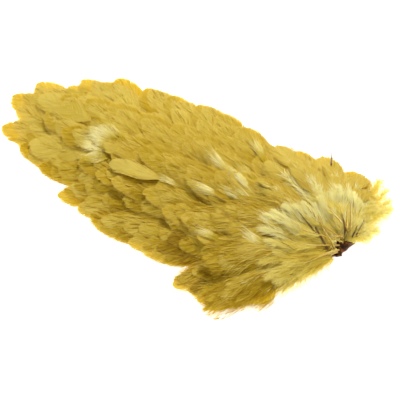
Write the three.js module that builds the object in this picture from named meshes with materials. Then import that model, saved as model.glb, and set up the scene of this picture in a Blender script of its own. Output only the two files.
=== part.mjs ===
// A hen saddle patch as sold for fly tying: one dried piece of skin, with its feathers laid like shingles
// from the narrow head end to the tail. Millimetres, +Z up. The head end is at +X and the feathers lie back
// towards -X, so the patch rests on the flat underside of its skin.
import * as THREE from "three";

// Driving dimensions of the skin
const skinLength = 140;
const skinThickness = 1.2;
const skinSideY = 5; // the skin's middle line lies this far to the +Y side of the head corner
const skinHalfWidths = [7, 18, 23, 24, 22, 19, 15, 8]; // from the head edge to the tail edge
const headShift = 2; // the head edge lies this much farther to +Y than the middle line
const headShiftLength = 25; // and comes back to it over this length
const skinRimCurl = 2.2; // how far the dried rim lifts off the table
const headRimCurl = 0.7; // and how far it does at the head edge
const skinRimFrom = 0.7; // share of the half width where the curl starts
const skinWaveLength = 30; // of the rim's crinkles
const headBeadHeight = 1.1; // the thick, crinkled edge that the first quills stand in
const headBeadLength = 5;
const skinSteps = 20;
const skinSides = [-1, -0.85, -0.7, -0.35, 0, 0.35, 0.7, 0.85, 1];

// Driving dimensions of a feather
const quillWidth = 1.1;
const quillHeight = 0.8;
const downHeight = 2.2; // the soft lower half of a feather, between its neighbours
const vaneHeight = 0.6;
const tipThinning = 0.6; // share of the vane's thickness that is left at its tip
const edgeThinning = 0.35; // and at its edges
const shaftRidge = 0.2; // how far the shaft stands above its vane
const baseWidthShare = 0.5; // the vane's width where it leaves the quill
const fullWidthFrom = 0.45; // share of the vane's length where it is widest
const roundingFrom = 0.62; // and where its tip starts to round off
const tipWidthShare = 0.25;
const sideBow = 3; // outer feathers curve outwards by this much

// Driving dimensions of the pile
const clearance = 0.35; // between one feather and the next
const droop = 0.08; // sag of a free feather tip, per settling pass

// The front fan stands in the head edge with bare quills. Headings are in degrees from the tail direction,
// positive to the +Y side.
const frontFan = [
  { heading: -55.5, length: 74.5, width: 16 },
  { heading: -38, length: 67.5, width: 16 },
  { heading: -18, length: 64, width: 16 },
  { heading: 2, length: 63, width: 16 },
  { heading: 30, length: 62, width: 16 },
  { heading: 50, length: 49, width: 16 },
  { heading: 70, length: 37, width: 15 },
];
const frontQuillShare = 0.3;
const frontRootSpread = 12; // along the head edge
const frontRootBack = 0.4;
const frontRootStagger = 0.8;

// Short feathers that are nearly all down, at both ends of the head edge
const frontDown = [
  { back: 1, side: 1, heading: -64, length: 57, width: 14 },
  { back: 1.5, side: 12, heading: 90, length: 44, width: 14 },
  { back: 1, side: 13, heading: 108, length: 32, width: 16 },
  { back: 1, side: 6, heading: 112, length: 18, width: 15 },
];

// Rows behind the fan, each an arc of roots across the skin: distance from the head edge, number of
// feathers, and the heading and length of its first and last feather
const rows = [
  { back: 5, count: 6, near: -49, far: 76, nearLength: 68, farLength: 40 },
  { back: 17, count: 5, near: -45, far: 47, nearLength: 64, farLength: 43 },
  { back: 31, count: 5, near: -36, far: 29, nearLength: 56, farLength: 50 },
  { back: 44, count: 5, near: -29, far: 31, nearLength: 53, farLength: 53 },
  { back: 58, count: 5, near: -27, far: 30, nearLength: 57, farLength: 54 },
  { back: 72, count: 5, near: -25, far: 29, nearLength: 54, farLength: 55 },
  { back: 86, count: 5, near: -24, far: 27, nearLength: 54, farLength: 56 },
  { back: 99, count: 4, near: -10, far: 25.5, nearLength: 57, farLength: 62 },
  { back: 113, count: 4, near: -1, far: 25, nearLength: 61, farLength: 60 },
];
const rowWidth = 16.3;
const rowQuillShare = 0.1;
const rowInset = 0.78; // share of the skin's half width that the roots take up
const rowArc = 3; // the outer roots of a row lie this much further back
const rootScatter = 1.5;
const headingScatter = 3;
const lengthScatter = 2;
const widthScatter = 1;

// The tail's last feathers, and one that lies loose across its neighbours
const tailTips = [
  { back: 129, side: 14, heading: 14.5, length: 65, width: 17 },
  { back: 131, side: 2, heading: -7, length: 60, width: 16 },
  { back: 133, side: 7, heading: 8, length: 66, width: 17 },
];
const looseFeather = { back: 71, side: 2, heading: -7, length: 53, width: 14 };

const featherColour = 0xc2a23c;
const fanColour = 0xdccb7a;
const skinColour = 0x7a4a1e;

// A feather's grid: stations along it, from its root to its tip, and places across it
const stations = [0, 0.08, 0.18, 0.3, 0.43, 0.57, 0.71, 0.84, 0.94, 1];
const across = [-1, -0.5, 0, 0.5, 1];

// How a feather is settled on what lies below it
const settlingPasses = 40;
const liftingPasses = 40;
const samplesAlong = 16; // per grid cell
const samplesAcross = 8;
const rootReach = 0.45; // share of the first cell that the root's own height comes from
const leastHold = 0.12; // samples that are held by the root alone don't lift the rest
const levelWidth = 6; // a feather narrower than this is level across

// The bed is a height map of what already lies on the table, in square cells
const bedCell = 0.5;
const bedFrom = { x: -210, y: -90 };
const bedColumns = 520;
const bedRows = 380;
const bed = new Float32Array(bedColumns * bedRows);

function bedIndex(x, y) {
  const column = Math.round((x - bedFrom.x) / bedCell);
  const row = Math.round((y - bedFrom.y) / bedCell);
  return row * bedColumns + column;
}

function bedHeight(x, y) {
  return bed[bedIndex(x, y)];
}

// Raises the bed at a point and its neighbours to at least z
function raiseBed(x, y, z) {
  for (const dx of [-bedCell, 0, bedCell]) {
    for (const dy of [-bedCell, 0, bedCell]) {
      const at = bedIndex(x + dx, y + dy);
      bed[at] = Math.max(bed[at], z);
    }
  }
}

// A repeatable number from -1 to 1 for each feather and purpose
function scatter(feather, purpose) {
  const wave = Math.sin(feather * 12.9898 + purpose * 78.233) * 43758.5453;
  return 2 * (wave - Math.floor(wave)) - 1;
}

function between(low, high, share) {
  return low + (high - low) * share;
}

// Eases from 0 to 1 as value goes from low to high
function ease(low, high, value) {
  return THREE.MathUtils.smoothstep(value, low, high);
}

// Linear reading of an evenly spaced list
function readList(list, share) {
  const place = THREE.MathUtils.clamp(share, 0, 1) * (list.length - 1);
  const first = Math.min(Math.floor(place), list.length - 2);
  return between(list[first], list[first + 1], place - first);
}

// A closed solid from rings of equally many points, each ring running round the same way: first the points that
// are only on its lower side, then the rest. The ends are closed by strips from the lower to the upper side.
function closedRings(rings, lowerCount) {
  const size = rings[0].length;
  const faces = [];
  for (let i = 0; i < rings.length - 1; i++) {
    for (let j = 0; j < size; j++) {
      const [a, b] = [i * size + j, i * size + ((j + 1) % size)];
      const [c, d] = [a + size, b + size];
      const upper = j >= lowerCount && j < size - 1;
      faces.push(...(upper ? [a, c, d, a, d, b] : [a, c, b, b, c, d]));
    }
  }
  const last = (rings.length - 1) * size;
  const opposite = (j) => (lowerCount + size / 2 - 1 - j + size) % size;
  for (let j = lowerCount - size / 2; j < size / 2 - 1; j++) {
    const [a, b, c, d] = [(j + size) % size, j + 1, opposite(j), opposite(j + 1)];
    if (b !== d) faces.push(a, b, d, last + a, last + d, last + b);
    if (a !== c) faces.push(a, d, c, last + a, last + c, last + d);
  }
  const geometry = new THREE.BufferGeometry();
  geometry.setAttribute("position", new THREE.Float32BufferAttribute(rings.flat(2), 3));
  geometry.setIndex(faces);
  geometry.computeVertexNormals();
  return geometry;
}

function namedMesh(name, geometry, color, roughness) {
  const mesh = new THREE.Mesh(geometry, new THREE.MeshStandardMaterial({ color, roughness, metalness: 0 }));
  mesh.name = name;
  return mesh;
}

// The skin: flat on the table, its rim curled up, with a crinkled bead along the head edge
function skinHalfWidth(back) {
  return readList(skinHalfWidths, back / skinLength);
}

// The skin's middle line, which bends towards +Y at the head end
function skinMiddle(back) {
  return skinSideY + headShift * (1 - ease(0, headShiftLength, back));
}

function skinUnderside(back, side) {
  const rim = ease(skinRimFrom, 1, Math.abs(side));
  const wave = 0.75 + 0.25 * Math.sin((2 * Math.PI * back) / skinWaveLength + side);
  return between(headRimCurl, skinRimCurl, ease(0, headShiftLength, back)) * rim * wave;
}

function skinTop(back, side) {
  const bead = headBeadHeight * (1 - ease(0, headBeadLength, back));
  const crinkle = 1 + 0.25 * Math.sin(side * 9);
  return skinUnderside(back, side) + skinThickness + bead * crinkle;
}

function makeSkin() {
  const rings = [];
  for (let i = 0; i <= skinSteps; i++) {
    const back = skinLength * (i / skinSteps) ** 1.25; // closer together at the head end
    const half = skinHalfWidth(back);
    const point = (side, z) => [-back, skinMiddle(back) + half * side, z];
    const under = skinSides.map((side) => point(side, skinUnderside(back, side)));
    const over = skinSides.map((side) => point(side, skinTop(back, side))).reverse();
    rings.push([...under, ...over]);
  }
  for (let back = 0; back <= skinLength; back += bedCell) {
    for (let side = -1; side <= 1; side += bedCell / skinHalfWidth(back)) {
      raiseBed(-back, skinMiddle(back) + skinHalfWidth(back) * side, skinTop(back, side));
    }
  }
  return namedMesh("skin", closedRings(rings, skinSides.length), skinColour, 0.75);
}

// Share of the way along the vane, negative on the bare quill
function alongVane(feather, share) {
  return (share - feather.quillShare) / (1 - feather.quillShare);
}

// Half the width of a feather: a bare quill, a soft base that widens, and a rounded tip
function halfWidth(feather, share) {
  const along = alongVane(feather, share);
  if (along <= 0) return quillWidth / 2;
  const opening = ease(-0.02, 0.08, along);
  const widening = between(baseWidthShare, 1, ease(0, fullWidthFrom, along));
  const past = Math.max(0, along - roundingFrom) / (1 - roundingFrom);
  const rounding = Math.max(tipWidthShare, Math.sqrt(1 - past * past));
  return Math.max(quillWidth / 2, (feather.width / 2) * opening * widening * rounding);
}

// Thickness of a feather on its shaft line: the down is the thickest part of it
function thickness(feather, share) {
  const along = alongVane(feather, share);
  if (along <= 0) return quillHeight;
  const down = ease(0, 0.12, along) * (1 - ease(0.4, 0.7, along));
  return vaneHeight * between(1, tipThinning, along) + (downHeight - vaneHeight) * down;
}

// How far a grid point's upper side stands above its lower side
function upperRise(feather, i, j) {
  const full = thickness(feather, stations[i]);
  const atEdge = Math.abs(across[j]) === 1;
  return full * (atEdge ? edgeThinning : 1) + (across[j] === 0 ? shaftRidge : 0);
}

// A point of the feather, seen from above
function planPoint(feather, share, side) {
  const turn = THREE.MathUtils.degToRad(feather.heading);
  const forward = { x: -Math.cos(turn), y: Math.sin(turn) };
  const outward = { x: Math.sin(turn), y: Math.cos(turn) };
  const run = feather.length * share;
  const out = halfWidth(feather, share) * side + feather.bow * share * share;
  return {
    x: feather.root.x + forward.x * run + outward.x * out,
    y: feather.root.y + forward.y * run + outward.y * out,
  };
}

// The weights of a grid cell's corners at a place in it. The corners are taken in the order near left, near
// right, far left, far right, and the cell is two triangles, split from near right to far left.
function cornerWeights(s, t) {
  return s + t <= 1 ? [1 - s - t, t, s, 0] : [0, 1 - s, 1 - t, s + t - 1];
}

// Points spread evenly over a feather, as plan places with the grid corners and weights that give their height
function surfaceSamples(feather) {
  const samples = [];
  for (let i = 0; i < stations.length - 1; i++) {
    for (let j = 0; j < across.length - 1; j++) {
      const corners = [[i, j], [i, j + 1], [i + 1, j], [i + 1, j + 1]];
      const points = corners.map(([a, b]) => planPoint(feather, stations[a], across[b]));
      for (let a = 0; a <= samplesAlong; a++) {
        for (let b = 0; b <= samplesAcross; b++) {
          const weights = cornerWeights(a / samplesAlong, b / samplesAcross);
          const mix = (values) => weights.reduce((sum, weight, k) => sum + weight * values[k], 0);
          samples.push({ corners, weights, x: mix(points.map((p) => p.x)), y: mix(points.map((p) => p.y)) });
        }
      }
    }
  }
  return samples;
}

function heightAt(heights, { corners, weights }) {
  return weights.reduce((sum, weight, k) => sum + weight * heights[corners[k][0]][corners[k][1]], 0);
}

// Lifts the grid, as little as needed, until its underside clears what already lies there. The root stays put.
function lift(heights, supports) {
  for (const support of supports) {
    const short = support.floor - heightAt(heights, support);
    if (short <= 0) continue;
    const free = support.weights.map((weight, k) => (support.corners[k][0] > 0 ? weight : 0));
    const hold = free.reduce((sum, weight) => sum + weight * weight, 0);
    if (hold < leastHold) continue;
    support.corners.forEach(([i, j], k) => {
      heights[i][j] += (short * free[k]) / hold;
    });
  }
}

// Keeps each narrow ring level, because a quill doesn't twist
function level(feather, heights) {
  heights.forEach((line, i) => {
    if (halfWidth(feather, stations[i]) < levelWidth / 2) line.fill(Math.max(...line));
  });
}

// Each grid point goes to the mean of its neighbours, less a little sag. The root stays put.
function relax(heights) {
  return heights.map((line, i) =>
    line.map((height, j) => {
      if (i === 0) return height;
      const around = [heights[i - 1][j], (heights[i + 1] ?? line)[j]];
      if (j > 0) around.push(line[j - 1]);
      if (j < across.length - 1) around.push(line[j + 1]);
      return around.reduce((sum, value) => sum + value, 0) / around.length - droop;
    }),
  );
}

// Lets a feather settle on what already lies there, and returns the heights of its underside
function settle(feather) {
  const supports = surfaceSamples(feather);
  for (const support of supports) support.floor = bedHeight(support.x, support.y) + clearance;
  const atRoot = ({ corners, weights }) => corners[0][0] === 0 && weights[2] + weights[3] < rootReach;
  const rootHeight = Math.max(...supports.filter(atRoot).map(({ floor }) => floor));
  let heights = stations.map(() => across.map(() => rootHeight));
  for (let pass = 0; pass < settlingPasses; pass++) {
    lift(heights, supports);
    level(feather, heights);
    heights = relax(heights);
  }
  for (let pass = 0; pass < liftingPasses; pass++) {
    lift(heights, supports);
    level(feather, heights);
  }
  return heights;
}

// Settles a feather, adds its upper side to the bed and makes its solid
function makeFeather(name, feather, colour) {
  const heights = settle(feather);
  const tops = heights.map((line, i) => line.map((height, j) => height + upperRise(feather, i, j)));
  for (const sample of surfaceSamples(feather)) raiseBed(sample.x, sample.y, heightAt(tops, sample));
  const rings = stations.map((share, i) => {
    const point = (z, j) => {
      const { x, y } = planPoint(feather, share, across[j]);
      return [x, y, z];
    };
    const under = heights[i].map(point).slice(1, -1);
    const over = tops[i].map(point).reverse();
    return [...under, ...over];
  });
  return namedMesh(name, closedRings(rings, across.length - 2), colour, 0.6);
}

// A row's feathers, the outer ones first, so that the middle ones lie on top
function outerFirst(count) {
  const middle = (count - 1) / 2;
  return [...Array(count).keys()].sort((a, b) => Math.abs(b - middle) - Math.abs(a - middle) || a - b);
}

function rowFeather(row, index, serial) {
  const share = index / (row.count - 1);
  const side = between(-1, 1, share);
  const back = row.back + rowArc * side * side + rootScatter * scatter(serial, 1);
  return {
    root: { x: -back, y: skinSideY + skinHalfWidth(row.back) * rowInset * side },
    heading: between(row.near, row.far, share) + headingScatter * scatter(serial, 2),
    length: between(row.nearLength, row.farLength, share) + lengthScatter * scatter(serial, 3),
    width: rowWidth + widthScatter * scatter(serial, 4),
    bow: sideBow * side,
    quillShare: rowQuillShare,
  };
}

function fanFeather(index) {
  const share = index / (frontFan.length - 1) - 0.5;
  return {
    ...frontFan[index],
    root: { x: -frontRootBack - frontRootStagger * (index % 2), y: skinMiddle(0) + frontRootSpread * share },
    bow: sideBow * share,
    quillShare: frontQuillShare,
  };
}

function placedFeather(place) {
  return { ...place, root: { x: -place.back, y: place.side }, bow: 0, quillShare: rowQuillShare };
}

// The feathers are laid from the tail to the head, so each lies on those behind it
const patch = new THREE.Group();
patch.add(makeSkin());
tailTips.forEach((place, i) => {
  patch.add(makeFeather(`tail_feather_${i + 1}`, placedFeather(place), featherColour));
});
[...rows.entries()].reverse().forEach(([number, row]) => {
  if (row.back < looseFeather.back && !patch.getObjectByName("loose_feather")) {
    patch.add(makeFeather("loose_feather", placedFeather(looseFeather), featherColour));
  }
  for (const index of outerFirst(row.count)) {
    const feather = rowFeather(row, index, 10 * number + index);
    patch.add(makeFeather(`row_${number + 1}_feather_${index + 1}`, feather, featherColour));
  }
});
frontDown.forEach((place, i) => {
  patch.add(makeFeather(`front_down_${i + 1}`, placedFeather(place), fanColour));
});
for (const index of outerFirst(frontFan.length)) {
  patch.add(makeFeather(`front_feather_${index + 1}`, fanFeather(index), fanColour));
}

// The origin goes to the middle of the patch's footprint, at table height
const reach = new THREE.Box3().setFromObject(patch);
const middle = reach.getCenter(new THREE.Vector3());
patch.children.forEach((mesh) => mesh.position.set(-middle.x, -middle.y, -reach.min.z));

export default patch;
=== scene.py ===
import math

import bpy
import numpy as np
from mathutils import Matrix, Vector
from mathutils.bvhtree import BVHTree


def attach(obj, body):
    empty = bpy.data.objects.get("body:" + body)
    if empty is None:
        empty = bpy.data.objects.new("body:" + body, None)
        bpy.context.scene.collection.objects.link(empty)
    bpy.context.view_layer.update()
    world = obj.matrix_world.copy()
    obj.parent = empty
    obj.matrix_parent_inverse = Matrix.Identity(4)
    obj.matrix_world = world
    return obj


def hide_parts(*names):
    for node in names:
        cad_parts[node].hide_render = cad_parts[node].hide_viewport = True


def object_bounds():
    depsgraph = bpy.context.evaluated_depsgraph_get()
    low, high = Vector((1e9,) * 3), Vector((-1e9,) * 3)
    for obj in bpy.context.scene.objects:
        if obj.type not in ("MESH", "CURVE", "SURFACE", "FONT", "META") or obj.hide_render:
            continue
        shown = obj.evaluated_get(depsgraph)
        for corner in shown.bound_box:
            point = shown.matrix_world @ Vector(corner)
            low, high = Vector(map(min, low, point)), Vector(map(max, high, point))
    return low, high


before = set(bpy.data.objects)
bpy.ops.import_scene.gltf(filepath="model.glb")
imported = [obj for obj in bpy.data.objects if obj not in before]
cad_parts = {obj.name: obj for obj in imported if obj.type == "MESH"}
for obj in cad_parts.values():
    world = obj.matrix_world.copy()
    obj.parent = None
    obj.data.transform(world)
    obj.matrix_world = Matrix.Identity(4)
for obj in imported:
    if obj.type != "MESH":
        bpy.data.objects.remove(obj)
cadLow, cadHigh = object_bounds()
bpy.ops.object.select_all(action="DESELECT")
print("frame loaded with", len(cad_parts), "solids")

mm = 0.001
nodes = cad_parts
spare = {"top": 1.025, "side": 1.055}  # how much higher and wider than the solids the barbs may reach
pileTop = cadHigh[2] / mm * spare["top"]
pileSide = cadHigh[1] / mm * spare["side"]


# Camera, lights and floor
view = {
    "azimuth": 28.6,
    "elevation": 50,
    "lens": 112.5,
    "sensor": 36,
    "distance": 600,
    "aim": (92.45, 3.19, 0),  # the front corner of the skin
    "aimOffset": (66.24, 27.84),  # how far right of and below the picture's middle that corner is
    "middle": 200,  # the picture's middle column and row
    "pixel": 0.48,  # what a pixel shows at the aim, in millimetres
}
studio = {
    "world": 0.36,
    "worldColour": (1, 0.94, 0.80, 1),
    "key": {"azimuth": 183, "elevation": 54, "distance": 700, "size": 130, "watts": 4.6},
    "front": {"azimuth": 0, "elevation": 50, "distance": 800, "size": 700, "watts": 1.9},
    "floorTone": 0.93,
    "floorGlow": 0.8,
    "floorDrop": 0.15,
}


def facing(azimuth, elevation):
    # The direction from something seen at these angles to whoever looks at it
    turn, rise = math.radians(azimuth), math.radians(elevation)
    return Vector((math.sin(turn) * math.cos(rise), -math.cos(turn) * math.cos(rise), math.sin(rise)))


def photoView():
    # Right, up and back in the photograph, and where its camera stands
    turn = math.radians(view["azimuth"])
    back = facing(view["azimuth"], view["elevation"])
    right = Vector((math.cos(turn), math.sin(turn), 0))
    up = back.cross(right)
    shiftRight, shiftDown = view["aimOffset"]
    eye = Vector(view["aim"]) - right * shiftRight + up * shiftDown + back * view["distance"]
    return right, up, back, eye


def placeCamera():
    right, up, back, eye = photoView()
    data = bpy.data.cameras.new("photo_camera")
    data.lens = view["lens"]
    data.sensor_width = view["sensor"]
    data.clip_start, data.clip_end = 0.01, 20
    camera = bpy.data.objects.new("photo_camera", data)
    camera.matrix_world = Matrix.Translation(eye * mm) @ Matrix((right, up, back)).transposed().to_4x4()
    bpy.context.scene.collection.objects.link(camera)
    bpy.context.scene.camera = camera


def placeLight(name, light):
    data = bpy.data.lights.new(name, "AREA")
    data.size = light["size"] * mm
    data.energy = light["watts"]
    lamp = bpy.data.objects.new(name, data)
    lamp.location = facing(light["azimuth"], light["elevation"]) * light["distance"] * mm
    lamp.rotation_mode = "QUATERNION"
    lamp.rotation_quaternion = lamp.location.to_track_quat("Z", "Y")
    bpy.context.scene.collection.objects.link(lamp)


def newPaint(name, values):
    # A material with these values on its shader
    paint = bpy.data.materials.new(name)
    paint.use_nodes = True
    shader = paint.node_tree.nodes["Principled BSDF"]
    for socket, value in values.items():
        shader.inputs[socket].default_value = value
    return paint, paint.node_tree, shader


def makeFloor():
    bpy.ops.mesh.primitive_plane_add(size=6, location=(0, 0, -studio["floorDrop"] * mm))
    floor = bpy.context.object
    floor.name = "floor"
    tone = studio["floorTone"]
    paint = newPaint("pale floor", {
        "Base Color": (tone, tone, tone, 1),
        "Roughness": 0.9,
        "Emission Color": (1, 1, 1, 1),
        "Emission Strength": studio["floorGlow"],
    })[0]
    floor.data.materials.append(paint)
    floor.select_set(False)


def lightWorld():
    world = bpy.data.worlds.new("studio")
    bpy.context.scene.world = world
    world.use_nodes = True
    sky = world.node_tree.nodes["Background"]
    sky.inputs["Color"].default_value = studio["worldColour"]
    sky.inputs["Strength"].default_value = studio["world"]


placeCamera()
placeLight("key_light", studio["key"])
placeLight("front_light", studio["front"])
makeFloor()
lightWorld()
bpy.context.scene.view_settings.view_transform = "Standard"
print("studio ready")


# Materials. Every strand carries marks: red is its feather's own tone, green the barb's, blue runs from the
# shaft to the barb's tip, and alpha from the feather's root to its tip.
finishes = {
    "vane": {
        "dark": (0.19, 0.095, 0.002),
        "mid": (0.55, 0.395, 0.02),
        "light": (0.75, 0.62, 0.13),
        "rim": (0.88, 0.70, 0.16),
        "through": (0.92, 0.64, 0.04),
        "throughShare": 0.34,
        "roughness": 0.5,
        "specular": 0.06,
        "sheen": 0.02,
        "streaks": 1.5,
    },
    "down": {
        "dark": (0.58, 0.40, 0.02),
        "mid": (0.82, 0.72, 0.15),
        "light": (0.98, 1, 0.58),
        "rim": (0.95, 0.91, 0.38),
        "through": (0.98, 0.84, 0.16),
        "throughShare": 0.45,
        "roughness": 0.75,
        "specular": 0.18,
        "sheen": 0.3,
        "streaks": 0.35,
    },
    "wisp": {
        "dark": (0.55, 0.405, 0.018),
        "mid": (0.80, 0.68, 0.18),
        "light": (1, 0.95, 0.52),
        "rim": (0.96, 0.88, 0.38),
        "through": (1, 0.90, 0.40),
        "throughShare": 0.3,
        "roughness": 0.8,
        "specular": 0.05,
        "sheen": 0,
        "streaks": 0.3,
    },
}


def addNode(tree, kind, at, inputs=(), **values):
    # A node with its settings. An input is given a value, or another node's socket to link to.
    made = tree.nodes.new(kind)
    made.location = at
    for name, value in values.items():
        setattr(made, name, value)
    for name, value in dict(inputs).items():
        if isinstance(value, bpy.types.NodeSocket):
            tree.links.new(value, made.inputs[name])
        else:
            made.inputs[name].default_value = value
    return made


def stretch(tree, value, at, limits):
    return addNode(tree, "ShaderNodeMapRange", at, {"Value": value, **limits}).outputs["Result"]


def blend(tree, share, first, second, at):
    return addNode(tree, "ShaderNodeMix", at, {0: share, 6: first, 7: second}, data_type="RGBA").outputs[2]


def makePlumageGroup():
    # Turns the marks into a colour and a height, for every finish of the feathers
    group = bpy.data.node_groups.new("plumage", "ShaderNodeTree")
    for name in ("Dark", "Mid", "Light", "Rim"):
        group.interface.new_socket(name=name, in_out="INPUT", socket_type="NodeSocketColor")
    group.interface.new_socket(name="Streaks", in_out="INPUT", socket_type="NodeSocketFloat")
    group.interface.new_socket(name="Color", in_out="OUTPUT", socket_type="NodeSocketColor")
    group.interface.new_socket(name="Height", in_out="OUTPUT", socket_type="NodeSocketFloat")

    def reckon(operation, at, *terms):
        return addNode(group, "ShaderNodeMath", at, dict(enumerate(terms)), operation=operation).outputs[0]

    given = addNode(group, "NodeGroupInput", (-900, 0)).outputs
    marks = addNode(group, "ShaderNodeAttribute", (-900, 300), attribute_name="marks").outputs
    split = addNode(group, "ShaderNodeSeparateColor", (-700, 300), {"Color": marks["Color"]}).outputs
    barbMap = addNode(group, "ShaderNodeUVMap", (-900, -300), uv_map="barbs").outputs["UV"]
    streak = addNode(group, "ShaderNodeTexNoise", (-700, -300), noise_dimensions="2D",
                     inputs={"Vector": barbMap, "Scale": 1, "Detail": 3}).outputs["Fac"]
    place = addNode(group, "ShaderNodeTexCoord", (-900, -550)).outputs["Object"]
    patch = addNode(group, "ShaderNodeTexNoise", (-700, -550),
                    {"Vector": place, "Scale": 55, "Detail": 2}).outputs["Fac"]

    # the feather's tone, moved by its barb, the streaks and the place
    barbPart = reckon("MULTIPLY_ADD", (-500, 150), split["Green"], 0.6, split["Red"])
    streakPart = reckon("MULTIPLY", (-500, -100), streak, given["Streaks"])
    together = reckon("ADD", (-300, 100), barbPart, streakPart)
    placed = reckon("MULTIPLY_ADD", (-150, 100), patch, 0.5, together)
    # each feather is painted darker where it comes out from under the one above it, and paler towards its
    # tip: painted shade of the overlap
    overlapShade = stretch(group, marks["Alpha"], (-300, 350), {"From Min": 0.5, "From Max": 0.95, "To Max": 0.4})
    outer = reckon("ADD", (-75, 250), placed, overlapShade)
    level = stretch(group, outer, (0, 100), {"From Min": 0.5, "From Max": 2.4})
    lower = stretch(group, level, (150, 250), {"From Max": 0.5})
    upper = stretch(group, level, (150, 0), {"From Min": 0.5})
    darkToMid = blend(group, lower, given["Dark"], given["Mid"], (350, 250))
    midToLight = blend(group, upper, darkToMid, given["Light"], (550, 150))
    # barb tips are thinner and paler, and painted paler still as a glow of the light shining through them
    rim = stretch(group, split["Blue"], (350, -150), {"From Min": 0.8, "From Max": 1, "To Max": 0.4})
    paler = blend(group, rim, midToLight, given["Rim"], (750, 100))
    addNode(group, "NodeGroupOutput", (950, 0), {"Color": paler, "Height": streakPart})
    return group


plumageGroup = makePlumageGroup()


def makeFeatherFinish(name, finish):
    paint, tree, shader = newPaint(name, {
        "Roughness": finish["roughness"],
        "Specular IOR Level": finish["specular"],
        "Sheen Weight": finish["sheen"],
        "Sheen Roughness": 0.4,
        "Sheen Tint": (1, 0.93, 0.7, 1),
    })
    tones = {tone: (*finish[tone.lower()], 1) for tone in ("Dark", "Mid", "Light", "Rim")}
    colours = addNode(tree, "ShaderNodeGroup", (-700, 0), dict(tones, Streaks=finish["streaks"]),
                      node_tree=plumageGroup).outputs
    bump = addNode(tree, "ShaderNodeBump", (-300, -250),
                   {"Strength": 0.35, "Distance": 0.1 * mm, "Height": colours["Height"]})
    tree.links.new(colours["Color"], shader.inputs["Base Color"])
    tree.links.new(bump.outputs["Normal"], shader.inputs["Normal"])
    through = addNode(tree, "ShaderNodeBsdfTranslucent", (0, -300), {"Color": (*finish["through"], 1)})
    both = addNode(tree, "ShaderNodeMixShader", (300, 0),
                   {0: finish["throughShare"], 1: shader.outputs[0], 2: through.outputs[0]})
    tree.links.new(both.outputs[0], tree.nodes["Material Output"].inputs["Surface"])
    return paint


def makeQuillFinish(name, darker, lighter):
    paint, tree, shader = newPaint(name, {"Roughness": 0.3, "Coat Weight": 0.25})
    place = addNode(tree, "ShaderNodeTexCoord", (-900, 0)).outputs["Object"]
    grain = addNode(tree, "ShaderNodeTexNoise", (-700, 0), {"Vector": place, "Scale": 400}).outputs["Fac"]
    tree.links.new(blend(tree, grain, darker, lighter, (-400, 0)), shader.inputs["Base Color"])
    return paint


# A strand's finish is its place in this list
plumeFinishes = [
    makeFeatherFinish("feather vane", finishes["vane"]),
    makeFeatherFinish("feather down", finishes["down"]),
    makeQuillFinish("quill", (0.52, 0.33, 0.03, 1), (0.82, 0.60, 0.11, 1)),
    makeFeatherFinish("loose down", finishes["wisp"]),
    # dark brown quills, also used for one line of painted shade in a parting of the fan
    makeQuillFinish("young quill and shade line", (0.05, 0.02, 0.003, 1), (0.24, 0.12, 0.018, 1)),
]
vaneFinish, downFinish, quillFinish, wispFinish, youngQuillAndShadeFinish = range(len(plumeFinishes))
print("materials ready")


# The paths that the feathers follow
def smoothly(values, places, at):
    # A smooth curve through values at their places
    at = np.clip(at, places[0], places[-1])
    cell = np.clip(np.searchsorted(places, at, side="right") - 1, 0, len(places) - 2)
    slopes = np.gradient(values, places, axis=0)
    span = places[cell + 1] - places[cell]
    u = (at - places[cell]) / span
    if values.ndim > 1:
        u, span = u[..., None], span[..., None]
    rise = u * u * (3 - 2 * u)
    bend = span * (u * (1 - u) ** 2 * slopes[cell] - u * u * (1 - u) * slopes[cell + 1])
    return values[cell] * (1 - rise) + values[cell + 1] * rise + bend


rings = {"gaps": 9, "leastGap": 0.8, "headingStep": 0.5}  # of a feather's solid, from root to tip
fiveAcross = np.linspace(-1, 1, 5)


def ringHeading(points):
    # The heading along which the points of a solid fall into the fewest places
    best = None
    for degrees in np.arange(0, 180, rings["headingStep"]):
        turn = math.radians(degrees)
        steps = np.diff(np.sort(points[:, 0] * math.cos(turn) + points[:, 1] * math.sin(turn)))
        apart = steps >= rings["leastGap"]
        misfit = steps[~apart].sum() + 10 * abs(apart.sum() - rings["gaps"])
        if best is None or misfit < best[0]:
            best = (misfit, turn)
    return best[1]


def readPath(nodeName):
    # The path of a feather from the rings of its solid
    points = np.array([v.co for v in nodes[nodeName].data.vertices]) / mm
    points = np.unique(points.round(2), axis=0)
    turn = ringHeading(points)
    ahead = np.array([math.cos(turn), math.sin(turn)])
    aside = np.array([-ahead[1], ahead[0]])
    along = points[:, :2] @ ahead
    order = np.argsort(along)
    found = np.split(order, np.nonzero(np.diff(along[order]) >= rings["leastGap"])[0] + 1)
    widths = [np.ptp(points[ring][:, :2] @ aside) for ring in found]
    if widths[0] > widths[-1]:  # the root is the narrow end
        found, ahead, aside = found[::-1], -ahead, -aside
    root = points[found[0]][:, :2].mean(0)
    path = {"root": root, "ahead": ahead, "aside": aside}
    path.update({name: [] for name in ("places", "sides", "halves", "lows", "highs")})
    for ring in found:
        own = points[ring]
        side = (own[:, :2] - root) @ aside
        middle, half = (side.max() + side.min()) / 2, np.ptp(side) / 2
        column = np.round((side - middle) / half * 2).astype(int)
        columns = [own[column == c, 2] for c in range(-2, 3)]
        path["places"].append(((own[:, :2] - root) @ ahead).mean())
        path["sides"].append(middle)
        path["halves"].append(half)
        path["lows"].append(np.polyfit(fiveAcross, [heights.min() for heights in columns], 2))
        path["highs"].append(np.polyfit(fiveAcross, [heights.max() for heights in columns], 2))
    return {name: np.array(values) for name, values in path.items()}


# Barbs follow a solid's curve this far past its edge, as a share of its half width, and fall from there on
pastEdge = {"follow": 1.15, "fall": 0.12, "leastHalf": 3}
leastHeight = 0.1  # of a barb over the floor


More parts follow.
